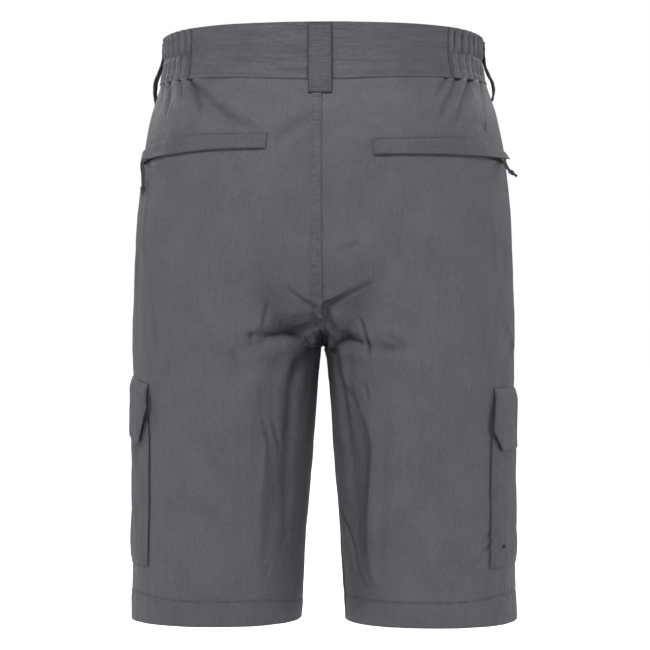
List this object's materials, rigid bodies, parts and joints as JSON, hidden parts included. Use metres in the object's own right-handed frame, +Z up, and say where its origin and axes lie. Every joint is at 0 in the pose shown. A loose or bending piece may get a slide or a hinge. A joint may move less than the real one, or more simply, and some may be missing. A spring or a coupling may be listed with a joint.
{
  "type": "hiking shorts",
  "caption": "Knee-length grey crinkled-nylon hiking shorts, the upper part of zip-off trousers, with cargo pockets, zipped seat pockets and a part-elastic waistband, filled out as if worn.",
  "frame": {"origin": "middle of the waist on the garment's upright axis, 25 mm below the top of the back waistband and 555 mm above the hems, where the wearer holds it up", "axes": "+Z up, -Y to the front, +X to the wearer's left"},
  "size_m": [0.3888, 0.2477, 0.58],
  "materials": {
    "nylon": "crinkled woven nylon, matt with a faint sheen",
    "zip_tape": "woven zip tape with coil teeth",
    "zip_metal": "black enamelled die casting",
    "pull_cord": "thin braided cord",
    "button_plastic": "moulded, satin"
  },
  "bodies": {
    "root": {"back_left": "nylon", "back_right": "nylon", "front_left": "nylon", "front_right": "nylon", "waistband_back": "nylon", "waistband_elastic_left": "nylon", "waistband_elastic_right": "nylon", "waistband_front_left": "nylon", "waistband_front_right": "nylon", "belt_loop_back": "nylon", "belt_loop_side_left": "nylon", "belt_loop_side_right": "nylon", "belt_loop_front_left": "nylon", "belt_loop_front_right": "nylon", "seat_pocket_cover_left": "nylon", "seat_pocket_cover_right": "nylon", "hand_pocket_cover_left": "nylon", "hand_pocket_cover_right": "nylon", "cargo_pocket_left": "nylon", "cargo_pocket_right": "nylon", "cargo_flap_left": "nylon", "cargo_flap_right": "nylon", "fly_cover": "nylon", "fly_zip": "zip_tape", "leg_zip_left": "zip_tape", "leg_zip_right": "zip_tape", "zip_slider_left": "zip_metal", "zip_slider_right": "zip_metal", "pull_cord_left": "pull_cord", "pull_cord_right": "pull_cord", "pull_knot_left": "pull_cord", "pull_knot_right": "pull_cord", "waist_button": "button_plastic"}
  },
  "joints": []
}
